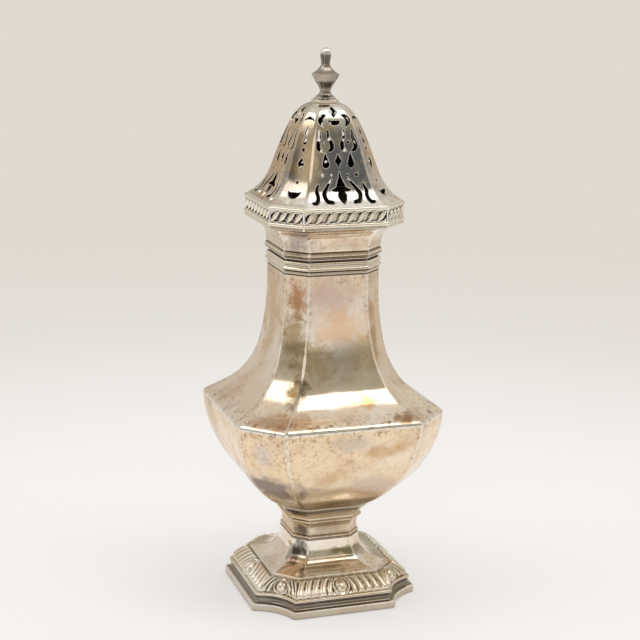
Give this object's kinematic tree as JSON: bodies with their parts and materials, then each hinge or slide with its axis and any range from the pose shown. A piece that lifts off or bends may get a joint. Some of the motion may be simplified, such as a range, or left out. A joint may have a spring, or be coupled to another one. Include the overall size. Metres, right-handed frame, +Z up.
{
  "type": "sugar caster",
  "caption": "Octagonal baluster sugar caster in silver: moulded foot with egg-and-tongue border, swelling body, reeded neck and a lift-off pierced dome cover with urn finial.",
  "frame": {"origin": "middle of the base, on the surface the foot stands on", "axes": "+Z up along the caster's axis, -Y towards the front main face, +X to the right"},
  "size_m": [0.073, 0.073, 0.19],
  "materials": {
    "silver": "polished sterling silver with warm tarnish"
  },
  "bodies": {
    "caster_body": {"foot_rim": "silver", "foot_border": "silver", "foot_rise": "silver", "stem": "silver", "bowl": "silver", "upper_body": "silver", "neck_moulding": "silver"},
    "cover": {"cover_sleeve": "silver", "cover_collar": "silver", "border_ring": "silver", "rope_border": "silver", "pierced_dome": "silver", "finial_flange": "silver", "finial": "silver"}
  },
  "joints": [
    {"name": "cover_lift", "type": "slide", "parent": "caster_body", "child": "cover", "axis": [0, 0, 1], "range_m": [0, 0.045]}
  ]
}
